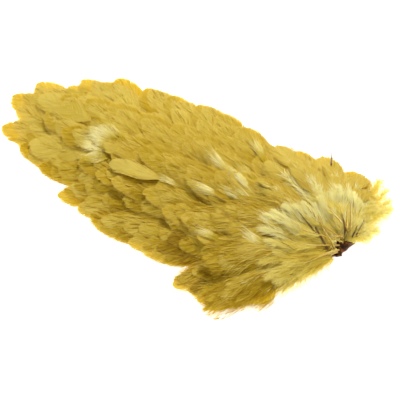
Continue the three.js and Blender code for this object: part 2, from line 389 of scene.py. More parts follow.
def onPath(path, x, y, lift):
    # From places on a feather to points in space, halfway between the lower and upper side of its solid
    places = path["places"]
    inside = np.clip(x, 0, places[-1])
    curves = [path[name] for name in ("sides", "halves", "lows", "highs")]
    side, half, low, high = (smoothly(curve, places, inside) for curve in curves)
    share = np.clip(y / half, -pastEdge["follow"], pastEdge["follow"])
    powers = np.stack([share * share, share, np.ones_like(share)], -1)
    lower, upper = (low * powers).sum(-1), (high * powers).sum(-1)
    beyond = np.maximum(np.abs(y) - pastEdge["follow"] * half, 0) * (half > pastEdge["leastHalf"])
    z = lower + (upper - lower) * 0.5 + lift - pastEdge["fall"] * beyond
    plan = path["root"] + x[..., None] * path["ahead"] + (side + y)[..., None] * path["aside"]
    plan[..., 1] = np.clip(plan[..., 1], -pileSide, pileSide)
    return np.concatenate([plan, np.clip(z, leastHeight, pileTop)[..., None]], -1)


drape = {
    "stations": 12,
    "rootDepth": 1.3,  # how far a root stays under the surface of the pile
    "tipLift": 0.15,
    "sag": 0.12,  # fall of a free part, for each millimetre
    "edgeDrop": 0.6,  # how far an edge hangs that lies on nothing
    "leastHeight": 0.3,
    "mostTilt": 2.2,  # across half a feather
    "camber": (-0.9, 0.3),
    "smoothings": 3,
    "skyHeight": 80,  # where the rays that feel for the pile start
}


def surfaceHeight(tree, x, y):
    hit = tree.ray_cast(Vector((x, y, drape["skyHeight"])), Vector((0, 0, -1)))[0]
    return math.nan if hit is None else hit.z


def feelHeights(tree, root, ahead, aside, places, sides, halves):
    # The height of the pile under a feather, where a free part sags
    heights = np.full((len(places), 5), np.nan)
    for i in range(len(places)):
        for j in range(5):
            x, y = np.array(root) + ahead * places[i] + aside * (sides[i] + fiveAcross[j] * halves[i])
            heights[i, j] = surfaceHeight(tree, x, y)
    for i in range(len(places)):
        known = heights[i][~np.isnan(heights[i])]
        before = heights[i - 1] if i else np.full(5, 1.0)
        free = known.mean() if len(known) else np.nanmean(before) - drape["sag"] * places[1]
        hanging = np.maximum(free - drape["edgeDrop"], drape["leastHeight"])
        heights[i] = np.where(np.isnan(heights[i]), hanging, heights[i])
    return heights


def drapePath(tree, root, heading, length, width, bow, lift, bends=None):
    # The path of a feather that lies on whatever the tree holds. heading is in degrees from the tail
    # direction, and bends is 1 for a straight feather, 2 for one whose quill bends once.
    turn = math.radians(heading)
    ahead = np.array([-math.cos(turn), math.sin(turn)])
    aside = np.array([-ahead[1], ahead[0]])
    share = np.linspace(0, 1, drape["stations"])
    places, sides = share * length, bow * share ** 2
    halves = width / 2 * np.clip(0.5 + share * 1.4, 0, 1) * np.where(share > 0.95, 0.6, 1)
    heights = feelHeights(tree, root, ahead, aside, places, sides, halves)
    level = heights.copy()
    for _ in range(drape["smoothings"]):  # a feather is too stiff for steps
        padded = np.concatenate([level[:1], level, level[-1:]])
        level = (padded[:-2] + 2 * padded[1:-1] + padded[2:]) / 4
    level += np.clip(heights - level - 0.3, 0, 0.8)  # but no step of the pile comes through it
    curves = np.array([np.polyfit(fiveAcross, ring, 2) for ring in level])
    curves[:, 0] = np.clip(curves[:, 0], *drape["camber"])
    curves[:, 1] = np.clip(curves[:, 1], -drape["mostTilt"], drape["mostTilt"])
    if bends:
        stiff = np.stack([np.polyval(np.polyfit(places, column, bends), places) for column in curves.T], -1)
        if bends == 1:  # a bare quill lies on the highest point under it
            stiff[:, 2] += max((curves - stiff)[:, 2].max(), 0)
        limp = np.clip(share * 2.5 - 1, 0, 1)[:, None] * (bends > 1)
        curves = stiff + (curves - stiff) * limp
    curves[:, 2] += lift + drape["tipLift"] * share - drape["rootDepth"] * (1 - share) ** 1.5
    return {"root": np.array(root), "ahead": ahead, "aside": aside, "places": places, "sides": sides,
            "halves": halves, "lows": curves, "highs": curves}


def pathHeading(path):
    return math.degrees(math.atan2(path["ahead"][1], -path["ahead"][0]))


# Strands. A ribbon's points run: ribbon, step, edge.
class Plume:
    # Gathers the strands of one piece
    def __init__(self):
        self.points, self.faces, self.marks, self.lays, self.barbs, self.finishes = [], [], [], [], [], []
        self.count = 0

    def add(self, points, faces, marks, lays, barbs, finish):
        self.points.append(points)
        self.faces.append(faces + self.count)
        self.marks.append(marks)
        self.lays.append(lays)
        self.barbs.append(barbs)
        self.finishes.append(np.full(len(faces), finish))
        self.count += len(points)


def ribbonFaces(ribbons, steps, turned):
    ribbon, step = np.meshgrid(np.arange(ribbons), np.arange(steps - 1), indexing="ij")
    first = (ribbon * steps + step).ravel() * 2
    quads = np.stack([first, first + 2, first + 3, first + 1], -1)
    return quads[:, ::-1] if turned else quads


def ribbonLines(rootX, rootY, turn, reach):
    # Centre lines that leave their roots and turn as they go
    step = (reach / (turn.shape[1] - 1))[:, None]
    x = rootX[:, None] + np.cumsum(np.cos(turn) * step, 1) - np.cos(turn[:, :1]) * step
    y = rootY[:, None] + np.cumsum(np.sin(turn) * step, 1) - np.sin(turn[:, :1]) * step
    return x, y


def ribbonEdges(x, y, z, turn, half, roll):
    edges = []
    for way in (1, -1):
        across = way * np.sin(turn) * half, way * np.cos(turn) * half
        edges.append(np.stack([x - across[0], y + across[1], z + way * roll * half], -1))
    return np.stack(edges, 2)


def ribbonMarks(points, tone, shade, u, length):
    marks = np.empty(points.shape[:3] + (4,))
    marks[..., 0] = np.reshape(tone, (-1, 1, 1))
    marks[..., 1] = shade[:, None, None]
    marks[..., 2] = u[..., None]
    marks[..., 3] = points[..., 0] / length
    return marks


def ribbonMap(across, along):
    # Where on the streaks the ribbons lie: across has both edges of each, and along its steps
    return np.stack(np.broadcast_arrays(across[:, None, :], along[..., None]), -1)


def looseMap(count, along):
    return ribbonMap((np.arange(count) * 1.7)[:, None] + np.array([0, 0.6]), along * 2)


def wobble(chance, count, every, size):
    # Smooth random values, one for each of count neighbours
    knots = chance.normal(0, size, max(3, int(count / every) + 3))
    return smoothly(knots, np.arange(len(knots)).astype(float), np.linspace(0, len(knots) - 1, count))


def vaneHalfWidth(shape, at):
    # The outline of a vane, from where it leaves the down to its tip
    rise = np.clip(at / 0.4, 0, 1)
    rise = 0.55 + 0.45 * rise * rise * (3 - 2 * rise)
    late = np.clip((at - shape["roundFrom"]) / (1 - shape["roundFrom"]), 0, 1)
    return shape["width"] / 2 * rise * np.sqrt(np.maximum(1 - late ** shape["roundness"], 0))


def vaneCamber(shape, y):
    return -shape["camber"] * (np.abs(y) / (shape["width"] / 2)) ** 2


barbForm = {
    "firstEnd": 0.36,  # where on the vane's outline the first barb ends
    "lastRoot": 0.94,  # where on the shaft the last one starts
    "crowding": 1.45,  # of the roots towards the down
    "bendX": 0.4,
    "bendY": 0.62,
    "splitReach": 7,  # barbs that lean with a split
}


def layVane(shape, chance, side):
    # One side of a vane, as barbs that each cover a little of the next
    length, start = shape["length"], shape["length"] * shape["downShare"]
    span = length - start
    count, steps = shape["barbs"], shape["barbSteps"]
    fine = np.linspace(0, 1, 240)
    arcX, arcY = start + span * fine, vaneHalfWidth(shape, fine)
    arc = np.concatenate([[0], np.cumsum(np.hypot(np.diff(arcX), np.diff(arcY)))])
    rank = np.arange(count + 1)
    ends = np.interp(np.linspace(barbForm["firstEnd"], 1, count + 1), arc / arc[-1], fine)
    roots = start + barbForm["lastRoot"] * span * (rank / count) ** barbForm["crowding"]
    endX = start + span * ends
    endY = vaneHalfWidth(shape, ends)
    reach = wobble(chance, count + 1, 9, 0.008) + 1
    # splits: barbs before one fall back, and those after it lean on
    slip = np.zeros(count + 1)
    for split in chance.integers(int(count * 0.15), int(count * 0.97), shape["splits"]):
        away = rank - split
        pull = chance.uniform(0.4, shape["splitSize"])
        slip += np.where(away > 0, 0.5, -1) * pull * np.exp(-np.abs(away) / barbForm["splitReach"])
    slip += wobble(chance, count + 1, 7, shape["slip"])
    u = np.linspace(0, 1, steps) ** 0.8
    shorter = 1 - shape["ragged"] * chance.random((count, 1)) ** 2

    def curve(index):
        rootX, tipX = np.interp(index, rank, roots), np.interp(index, rank, endX)
        tipY = np.interp(index, rank, endY) * np.interp(index, rank, reach)
        middleX = rootX + (tipX - rootX) * barbForm["bendX"]
        v = u[None, :] * shorter
        x = (1 - v) ** 2 * rootX[:, None] + 2 * v * (1 - v) * middleX[:, None] + v * v * tipX[:, None]
        y = 2 * v * (1 - v) * (tipY * barbForm["bendY"])[:, None] + v * v * tipY[:, None]
        return x, y

    index = np.arange(count).astype(float)
    backX, backY = curve(index)
    frontX, frontY = curve(index + 1)
    grow = shape["overlap"]
    nearX, nearY = backX - (frontX - backX) * grow, backY - (frontY - backY) * grow
    farX, farY = frontX + (frontX - backX) * grow, frontY + (frontY - backY) * grow
    taper = np.clip((1 - u) / shape["fray"], 0, 1)[None, :] * (1 - shape["tipShare"]) + shape["tipShare"]
    thin = np.where(chance.random(count) < shape["slits"], chance.uniform(0.3, 0.7, count), 1)[:, None]
    taper = taper * (1 + (thin - 1) * np.clip(u * 3 - 0.5, 0, 1)[None, :])
    middleX, middleY = (nearX + farX) / 2, (nearY + farY) / 2
    edges = []
    own = slip[:-1, None] * (u[None, :] ** 1.6)
    wave = wobble(chance, count, 6, shape["wave"])[:, None] * u[None, :]
    camber = vaneCamber(shape, middleY)
    curl = shape["curl"] * np.clip((middleX / length - 0.75) / 0.25, 0, 1) ** 2
    tip = shape["barbTilt"] * chance.uniform(0.3, 1.4, count)[:, None]
    for edgeX, edgeY, tilt in ((nearX, nearY, -0.4 * tip), (farX, farY, 0.6 * tip)):
        x = middleX + (edgeX - middleX) * taper + own
        y = middleY + (edgeY - middleY) * taper
        edges.append(np.stack([x, y * side, wave + camber + curl + tilt], -1))
    points = np.stack(edges, 2)
    shade = 0.5 + shape["contrast"] * (chance.uniform(0, 1, count) - 0.5)
    marks = ribbonMarks(points, shape["tone"], shade, u[None, :], length)
    across = (index[:, None] + np.array([0, 1])) * 0.5 + shape["tone"] * 50
    barbs = ribbonMap(across, u[None, :] * 1.5 + side * 4)
    return points, marks, barbs, ribbonFaces(count, steps, side > 0)


def layHairs(shape, hair, chance, side):
    # Barbs that don't hold together, such as down or strays
    length = shape["length"]
    first, last = hair["between"][0] * length, hair["between"][1] * length
    count, steps = hair["count"], hair["steps"]
    roots = np.sort(chance.uniform(first, last, count))
    share = (roots - first) / max(last - first, 0.01)
    longest = 0.65 + 0.35 * np.sin(np.pi * np.clip(share + 0.1, 0, 1))  # those in the middle
    reach = hair["reach"] * chance.uniform(0.65, 1.2, count) * longest
    reach = np.minimum(reach, np.maximum(length + hair["over"] - roots, 1))
    lean = np.radians(chance.normal(*hair["lean"], count) - 12 * share)
    u = np.linspace(0, 1, steps)[None, :]
    turn = lean[:, None] - u * np.radians(chance.uniform(*hair["curve"], count))[:, None]
    phase = chance.uniform(0, 6, (count, 1))
    turn = turn + np.radians(hair["wave"]) * np.sin(u * chance.uniform(4, 9, (count, 1)) + phase)
    x, y = ribbonLines(roots, np.zeros(count), turn, reach)
    z = hair["lift"] * (hair["rise"] + chance.normal(0, 1, (count, 1))) * u + 0.12 * np.sin(u * 5 + phase)
    half = hair["width"] / 2 * (1 - 0.9 * u ** 1.5) * (0.35 + 0.65 * np.clip(u * 4, 0, 1))
    points = ribbonEdges(x, y, z, turn, half, -chance.uniform(-0.6, 0.6, (count, 1)))
    points[..., 1] *= side
    # outward makes down darker gold at its roots and paler outward: partly its own colour, and partly painted
    # shade deep among the quills
    tone = shape[hair["tone"]] + hair.get("outward", 0) * share
    marks = ribbonMarks(points, tone, chance.uniform(0, 1, count), u, length)
    return points, marks, looseMap(count, u + side * 2), ribbonFaces(count, steps, side > 0)


def layCoat(shape, coat, chance):
    # Barbs that lie loose on a vane, combed towards its tip
    length, start = shape["length"], shape["length"] * shape["downShare"]
    count, steps = coat["count"], coat["steps"]
    rootX = chance.uniform(*coat["between"], count) * length
    share = chance.uniform(-1, 1, count)
    along = np.clip((rootX - start) / (length - start), 0, 0.97)
    rootY = share * vaneHalfWidth(shape, along) * coat["spread"]
    reach = chance.uniform(*coat["length"], count)
    reach = np.minimum(reach, np.maximum(length + coat["over"] - rootX, 1.5))
    u = np.linspace(0, 1, steps)[None, :]
    turn = np.radians(share * coat["fanOut"] + chance.normal(0, coat["scatter"], count))[:, None]
    curve = chance.normal(0, coat["curve"], count) - share * coat["fanOut"] * 0.5
    turn = turn + u * np.radians(curve)[:, None]
    x, y = ribbonLines(rootX, rootY, turn, reach)
    edge = vaneHalfWidth(shape, np.clip((x - start) / (length - start), 0, 1)) * coat["spread"] + coat["past"]
    within = np.abs(y) <= edge  # a barb that would pass the vane's edge ends there
    y = np.clip(y, -edge, edge)
    rise = coat["lift"] * chance.uniform(0.2, 1, (count, 1)) * np.sin(np.pi * (0.15 + 0.75 * u))
    z = vaneCamber(shape, y) + rise
    half = coat["width"] / 2 * (1 - 0.92 * u ** 1.5) * (0.3 + 0.7 * np.clip(u * 4, 0, 1))
    half = half * (0.08 + 0.92 * within)
    points = ribbonEdges(x, y, z, turn, half, chance.uniform(-0.5, 0.5, (count, 1)))
    tone = shape[coat["tone"]] + chance.normal(0, coat["toneScatter"], count)
    marks = ribbonMarks(points, tone, chance.uniform(0, 1, count), u, length)
    return points, marks, looseMap(count, u), ribbonFaces(count, steps, False)


def layShaft(shape):
    # A four-sided shaft, thick at the root
    length, steps = shape["length"], shape["shaftSteps"]
    x = np.linspace(shape["shaftFrom"] / length, 0.985, steps) * length
    half = shape["quillWidth"] / 2 * (1 - shape["quillTaper"] * np.linspace(0, 1, steps) ** 0.7)
    corners = np.array([(-1, 0), (0, 1), (1, 0), (0, -0.8)])
    points = np.zeros((steps, 4, 3))
    points[..., 0] = x[:, None]
    points[..., 1] = half[:, None] * corners[:, 0]
    points[..., 2] = half[:, None] * corners[:, 1] + 0.02
    step, corner = np.meshgrid(np.arange(steps - 1), np.arange(4), indexing="ij")
    here, after = (step * 4 + corner).ravel(), (step * 4 + (corner + 1) % 4).ravel()
    faces = np.stack([here, after, after + 4, here + 4], -1)
    caps = np.array([[3, 2, 1, 0], [0, 1, 2, 3]]) + np.array([[0], [4 * (steps - 1)]])
    faces = np.concatenate([faces, caps])[:, ::-1]
    marks = np.zeros((steps, 4, 4))
    marks[..., 0] = shape["tone"]
    marks[..., 1] = 0.8
    marks[..., 3] = (x / length)[:, None]
    return points, marks, np.zeros((steps, 4, 2)), faces


def growFeather(plume, path, shape, row, chance):
    # Lays one feather along a path. row is its number among the feathers of its plume, and how many they are.
    parts = []
    if shape["barbs"]:
        parts += [(layVane(shape, chance, side), vaneFinish) for side in (1, -1)]
    for hair in shape["hairs"]:
        parts += [(layHairs(shape, hair, chance, side), hair["finish"]) for side in (1, -1)]
    parts += [(layCoat(shape, coat, chance), coat["finish"]) for coat in shape["coats"]]
    parts.append((layShaft(shape), shape["shaftFinish"]))
    rowAt, rows = row
    for (points, marks, barbs, faces), finish in parts:
        flat = points.reshape(-1, 3)
        placed = onPath(path, flat[:, 0], flat[:, 1], flat[:, 2])
        lays = np.stack([  # each feather has its own strip of the map named OFBake
            0.02 + 0.96 * np.clip(flat[:, 0] / shape["length"], 0, 1),
            (rowAt + 0.5 + 0.46 * np.clip(flat[:, 1] / (shape["width"] * 0.75), -1, 1)) / rows,
        ], -1)
        plume.add(placed, faces, marks.reshape(-1, 4), lays, barbs.reshape(-1, 2), finish)


def finishPlume(plume, name, replaced):
    points = np.concatenate(plume.points) * mm
    faces = np.concatenate(plume.faces)
    mesh = bpy.data.meshes.new(name)
    mesh.from_pydata(points, [], faces)
    for layerName, values in (("OFBake", plume.lays), ("barbs", plume.barbs)):
        layer = mesh.uv_layers.new(name=layerName)
        layer.uv.foreach_set("vector", np.concatenate(values)[faces.ravel()].astype(np.float32).ravel())
    marks = mesh.attributes.new("marks", "FLOAT_COLOR", "POINT")
    marks.data.foreach_set("color", np.concatenate(plume.marks).astype(np.float32).ravel())
    for finish in plumeFinishes:
        mesh.materials.append(finish)
    mesh.polygons.foreach_set("material_index", np.concatenate(plume.finishes).astype(np.int32))
    mesh.polygons.foreach_set("use_smooth", np.ones(len(faces), bool))
    mesh.validate()
    piece = bpy.data.objects.new(name, mesh)
    bpy.context.scene.collection.objects.link(piece)
    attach(piece, "root")
    if replaced:
        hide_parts(replaced)
    return len(faces) * 2


# Loose strands. between is in shares of their feather's length, sizes in millimetres and angles in degrees.
softHalf = {  # the down of a saddle feather
    "between": (0.06, 0.42), "count": 22, "steps": 6, "reach": 8, "over": 0, "lean": (48, 12),
    "curve": (10, 50), "wave": 16, "width": 0.5, "lift": 0.5, "rise": 0, "tone": "downTone",
    "finish": downFinish,
}
headHalf = dict(softHalf, between=(0.02, 0.6), count=90, reach=9, lean=(36, 10), curve=(5, 30), lift=0.6,
                rise=1)
strays = {  # barbs that have come loose from a vane
    "between": (0.3, 0.95), "count": 9, "steps": 5, "reach": 10, "over": 0, "lean": (20, 6),
    "curve": (-6, 12), "wave": 4, "width": 0.26, "lift": 0.18, "rise": 1.2, "tone": "tone",
    "finish": vaneFinish,
}
shortStrays = dict(strays, between=(0.3, 0.75), count=4, reach=5)
# dark strands in the partings between barbs: painted shade
gaps = dict(strays, width=0.3, tone="shadeStrandTone", reach=15, lift=0.1, rise=2.5, lean=(14, 5))
saddleCoat = {  # barbs that lie loose on a vane
    "between": (0.35, 0.9), "count": 16, "steps": 6, "length": (7, 14), "over": 0.4, "spread": 0.95,
    "fanOut": 13, "scatter": 5, "curve": 7, "width": 0.6, "lift": 0.28, "tone": "tone", "toneScatter": 0.32,
    "finish": vaneFinish, "past": 0.5,
}
frontCoat = dict(saddleCoat, scatter=8, curve=13, lift=0.4, width=0.45, spread=1.05)
saddle = {
    "downShare": 0.36,
    "barbs": 84,
    "barbSteps": 5,
    "barbTilt": 0.12,
    "roundFrom": 0.68,
    "roundness": 2,
    "splits": 1,
    "splitSize": 0.8,
    "tipShare": 0.05,  # a barb's width at its tip
    "overlap": 0.3,
    "slip": 0.05,
    "wave": 0.07,
    "contrast": 1,  # of one barb with the next
    "camber": 0.25,
    "curl": 0.3,
    "quillWidth": 0.8,
    "quillTaper": 0.9,
    "shaftFrom": 0,
    "shaftSteps": 12,
    "shaftFinish": vaneFinish,
    "tone": 0.5,
    "shadeStrandTone": -0.9,
}
# How a vane holds together where the feathers lie neatly, and where they are ruffled. fray is the share of a
# barb that narrows to its tip, ragged the share it may lack, and slits the share of barbs that stand apart.
neatVane = {"fray": 0.2, "tipShare": 0.2, "ragged": 0.05, "slits": 0.02, "contrast": 0.8, "slip": 0.04,
            "wave": 0.06, "curl": 0.15}
ruffledVane = {"fray": 0.2, "tipShare": 0.15, "ragged": 0.05, "slits": 0.07, "contrast": 1.2, "slip": 0.05,
               "wave": 0.07, "curl": 0.4}
# The smaller feathers that lie on each solid's own: how much sooner they end, how far aside a tip may lie,
# their sizes, and how far they stray from its heading. The tail has few and large ones.
tailCompanions = {"count": 4, "sooner": (2, 15), "aside": 7, "width": (15, 18), "length": (38, 52),
                  "stray": 2}
saddleCompanions = {"count": 5, "sooner": (-0.5, 15), "aside": 8, "width": (13, 17), "length": (34, 48),
                    "stray": 2.5}
frontCompanions = {"count": 6, "sooner": (0, 15), "aside": 7, "width": (10, 14), "length": (30, 42),
                   "stray": 5}
extraWidth = 0.5  # of the barbs over their solid


def layingOrder():
    # From the tail to the head, as the solids were laid
    order = ["skin"] + sorted(n for n in nodes if n.startswith("tail_"))
    for row in range(9, 0, -1):
        if row == 5:
            order.append("loose_feather")
        order += sorted(n for n in nodes if n.startswith(f"row_{row}_"))
    order += sorted(n for n in nodes if n.startswith("front_down"))
    return order + [f"front_feather_{i}" for i in (1, 7, 2, 6, 3, 5, 4)]


def makeBed(names):
    # What a feather is draped on
    points, faces = [], []
    for name in names:
        mesh = nodes[name].data
        mesh.calc_loop_triangles()
        first = len(points)
        points += [v.co / mm for v in mesh.vertices]
        faces += [[first + i for i in t.vertices] for t in mesh.loop_triangles]
    return BVHTree.FromPolygons(points, faces)


wholeBed = makeBed(nodes)


def sticksOut(tip, ahead, length, width):
    # Whether a feather would pass the outline of the pile
    aside = np.array([-ahead[1], ahead[0]])
    for back, side in ((0.3, 0), (length * 0.25, 0.3), (length * 0.25, -0.3)):
        x, y = tip - ahead * back + aside * side * width
        if math.isnan(surfaceHeight(wholeBed, x, y)):
            return True
    return False


darkSpots = [  # where the tone is painted darker: place, size and by how much. The first is painted shadow in the hollow under the loose feather
    {"x": -14, "y": -10, "size": 13, "by": 0.7},
    {"x": 13, "y": -31, "size": 12, "by": 0.25},
    {"x": 5, "y": 20, "size": 42, "by": 0.32},
]


def dyeAndShadeTone(place, chance):
    # Darker, and less even, towards the near side and the head. The darkening of the near side, which faces
    # away from the key light, is partly painted shade; the rest is the dye's own tone.
    uneven = 0.1 + 0.42 * float(np.clip(0.3 - place[1] / 40, 0, 1))
    lobe = float(np.clip((-place[1] - 22) / 15, 0, 1)) * float(np.clip(place[0] / 20, 0, 1))
    tone = 0.27 + 0.26 * place[1] / 50 - 0.2 * place[0] / 100 - 0.2 * lobe + chance.uniform(-uneven, uneven)
    for spot in darkSpots:
        away = math.hypot(place[0] - spot["x"], place[1] - spot["y"]) / spot["size"]
        tone -= spot["by"] * math.exp(-away * away)
    return tone


def neatness(place):
    # 1 on the far side and at the tail, 0 on the near side and towards the head
    return float(np.clip(0.55 + place[1] / 30 - (place[0] + 40) / 120, 0, 1))


def groom(neat):
    return {key: ruffledVane[key] + (neatVane[key] - ruffledVane[key]) * neat for key in neatVane}


def partWay(limits, share):
    return limits[0] + (limits[1] - limits[0]) * share


def makeSaddleFeather(nodeName, number, tree):
    chance = np.random.default_rng(400 + number)
    path = readPath(nodeName)
    reach = path["places"][-1]
    inFront = nodeName.startswith(("row_1_", "row_2_"))
    companions = frontCompanions if inFront else saddleCompanions
    if nodeName.startswith(("tail", "row_8", "row_9")):
        companions = tailCompanions
    total = companions["count"] + 1
    tipNeat = neatness(path["root"] + path["ahead"] * reach)
    main = dict(
        saddle,
        length=reach,
        width=path["halves"].max() * 2 + extraWidth,
        tone=dyeAndShadeTone(path["root"], chance),
        downTone=0.15 + 0.45 * tipNeat,
        hairs=[headHalf if inFront else softHalf, shortStrays],
        coats=[dict(frontCoat, count=int(60 - 40 * tipNeat)) if inFront else saddleCoat],
        roundFrom=0.48 + 0.2 * tipNeat,  # the ruffled ones end in a point
        roundness=1.6 + 0.4 * tipNeat,
        **groom(tipNeat),
    )
    plume = Plume()
    growFeather(plume, path, main, (0, total), chance)
    heading = pathHeading(path)
    tipSide = path["sides"][-1]
    jumble = float(np.clip(0.3 - path["root"][1] / 30, 0, 1))  # the near side lies less neatly
    for index in range(companions["count"]):
        sooner = partWay(companions["sooner"], (index + chance.uniform(0, 1)) / companions["count"])
        side = math.copysign(chance.uniform(0, 1) ** 0.7, chance.uniform(-1, 1)) * companions["aside"]
        length = min(chance.uniform(*companions["length"]), reach - sooner - 3)
        width = chance.uniform(*companions["width"])
        scatter = chance.normal(0, companions["stray"] * (1 + jumble))
        bow = chance.normal(0, 1.2 + 2.5 * jumble)
        for _ in range(10):  # it is drawn in until it lies on the pile
            turn = math.radians(heading - side * 0.5 + scatter)
            ahead = np.array([-math.cos(turn), math.sin(turn)])
            tip = path["root"] + path["ahead"] * (reach - sooner) + path["aside"] * (tipSide + side)
            if not sticksOut(tip, ahead, length, width):
                break
            side, sooner, scatter = side * 0.8, sooner + 0.8, scatter * 0.7
        root = tip - ahead * length - np.array([-ahead[1], ahead[0]]) * bow
        own = drapePath(tree, root, math.degrees(turn), length, width, bow, 0.1 * index)
        neat = neatness(tip)
        coat = dict(frontCoat if inFront else saddleCoat, count=int(20 - 14 * neat),
                    toneScatter=0.5 - 0.2 * neat)
        other = dict(
            saddle,
            length=length,
            width=width,
            hairs=[dict(strays, count=int(7 - 4 * neat)), dict(gaps, count=int(8 - 5 * neat))],
            coats=[coat],
            barbs=60,
            barbSteps=4,
            downShare=0.12,
            quillWidth=0.45,
            roundFrom=chance.uniform(0.4, 0.62),
            tone=dyeAndShadeTone(tip, chance),
            roundness=chance.uniform(1.6, 2.1),
            splits=int(chance.uniform(0, 1.6) + 1.6 * (1 - neat)),
            **groom(neat),
        )
        growFeather(plume, own, other, (index + 1, total), chance)
    return finishPlume(plume, nodeName + "_plume", nodeName)


fanDown = dict(softHalf, between=(0.16, 0.66), count=130, reach=9, lean=(32, 8), curve=(5, 26), wave=9,
               width=0.42, lift=0.4, rise=0.5, outward=0.5)
fanCoat = dict(frontCoat, between=(0.56, 0.96), length=(8, 15), lift=0.5, past=0.8)
fringe = dict(fanDown, between=(0.15, 0.92), count=150, reach=10, lean=(24, 16), curve=(-30, 36), wave=20,
              over=2, width=0.26, outward=0.35)
# The short downy feathers: least and most tone, how high their barbs stand and how far aside a tip may lie
fringes = {
    "front_down_1": {"tones": (0.1, 0.5), "lift": 0.25, "aside": 3.5},
    "front_down_2": {"tones": (-0.1, 0.3), "lift": 0.9, "aside": 7},
    "front_down_3": {"tones": (0.3, 0.8), "lift": 0.9, "aside": 7},
    "front_down_4": {"tones": (0.5, 1), "lift": 0.9, "aside": 7},
}
fan = dict(
    saddle,
    hairs=[fanDown, dict(strays, count=24)],
    downShare=0.56,
    barbs=60,
    quillWidth=1.1,
    shaftFinish=quillFinish,
    wave=0.1,
    downTone=0.8,
)
fanCompanions = {"count": 6, "sooner": (1, 22), "aside": 7, "width": (11, 15), "pathWidth": 14, "lift": 0.6}
fanFade = 0.55  # how much paler its barbs are towards their feather's root


def makeFanFeather(nodeName, number, tree):
    chance = np.random.default_rng(900 + number)
    path = readPath(nodeName)
    reach = path["places"][-1]
    count = fanCompanions["count"]
    tipPlace = path["root"] + path["ahead"] * reach
    neat = float(np.clip(0.5 + path["ahead"][1], 0, 1))
    main = dict(
        fan,
        length=reach,
        width=path["halves"].max() * 2 + extraWidth,
        tone=dyeAndShadeTone(tipPlace, chance) + 0.3,
        fray=0.7 - 0.4 * neat,
        ragged=0.22 - 0.14 * neat,
        slits=0.12 - 0.1 * neat,
        coats=[dict(fanCoat, count=int(80 - 50 * neat))],
    )
    downTones, aside = (0.22 + 0.65 * neat, 0.62 + 0.7 * neat), fanCompanions["aside"]
    downy = nodeName in fringes
    if downy:
        lift, downTones, aside = (fringes[nodeName][name] for name in ("lift", "tones", "aside"))
        main.update(hairs=[dict(fringe, lift=lift)], coats=[], barbs=0, downTone=downTones[0])
    plume = Plume()
    growFeather(plume, path, main, (0, count + 1), chance)
    heading = pathHeading(path)
    for index in range(count):
        sooner = partWay(fanCompanions["sooner"], (index + chance.uniform(0, 1)) / count)
        side = chance.uniform(-1, 1) * aside
        length = reach - min(sooner, reach * 0.35)
        toward = heading - math.degrees(math.atan2(side, length)) + chance.normal(0, 2)
        root = path["root"] + chance.normal(0, 0.8, 2)
        bow = chance.normal(0, 2)
        own = drapePath(tree, root, toward, length, fanCompanions["pathWidth"], bow, 0.06 * index, 2)
        own["highs"] = own["lows"] = own["lows"] + np.array([0, 0, fanCompanions["lift"]])
        other = dict(main, length=length, width=chance.uniform(*fanCompanions["width"]),
                     tone=dyeAndShadeTone(tipPlace, chance) + 0.25, shaftFrom=4, downTone=chance.uniform(*downTones),
                     quillWidth=chance.uniform(0.35, 0.7))
        if downy:
            other["hairs"] = [dict(fringe, count=130, lift=lift)]
        else:
            downUpTo = chance.uniform(0.52, 0.76)
            down = dict(fanDown, count=100, between=(0.06, downUpTo), outward=0.2 + 0.3 * neat)
            other.update(downShare=downUpTo - 0.06, barbs=44, barbSteps=4, hairs=[down, strays],
                         coats=[dict(fanCoat, count=int(45 - 30 * neat))])
        growFeather(plume, own, other, (index + 1, count + 1), chance)
    for marks, finish in zip(plume.marks, plume.finishes):
        if finish[0] == vaneFinish:
            marks[:, 0] += fanFade * np.clip((0.85 - marks[:, 3]) / 0.3, 0, 1)
    return finishPlume(plume, nodeName + "_plume", nodeName)


triangles = 0
order = layingOrder()
for number, nodeName in enumerate(order):
    bed = makeBed(order[:number + 1])
    if nodeName.startswith("front"):
        triangles += makeFanFeather(nodeName, number, bed)
    elif nodeName != "skin":
        triangles += makeSaddleFeather(nodeName, number, bed)
print("feathers laid,", triangles, "triangles")


# Feathers and wisps of down that lie on top, from and to the places where the photograph shows them
topFeathers = [
    {"from": (166, 183), "to": (109, 167), "width": 9.5, "tone": 1.4, "lift": 2.6, "round": 0.6},
    {"from": (142, 164), "to": (103, 147), "width": 8, "tone": 0.8, "lift": 2, "round": 0.5},
    {"from": (96, 154), "to": (30, 144), "width": 18, "tone": 0.9, "lift": 1.2, "round": 0.72},
    {"from": (96, 124), "to": (42, 97), "width": 17, "tone": 0.95, "lift": 1.4, "round": 0.74},
    {"from": (218, 250), "to": (166, 238), "width": 10, "tone": 0.5, "lift": 0.4, "round": 0.6},
    {"from": (188, 242), "to": (141, 224), "width": 10, "tone": 0.45, "lift": 0.4, "round": 0.6},
    {"from": (230, 226), "to": (192, 217), "width": 9, "tone": 0.6, "lift": 0.7, "round": 0.6},
    {"from": (152, 122), "to": (103, 84), "width": 15, "tone": 0.55, "lift": 0.2, "round": 0.7},
    {"from": (120, 118), "to": (69, 86), "width": 15, "tone": 0.5, "lift": 0.2, "round": 0.7},
    {"from": (245, 280), "to": (189, 296), "width": 14, "tone": 0.25, "lift": 0.2, "round": 0.65},
]
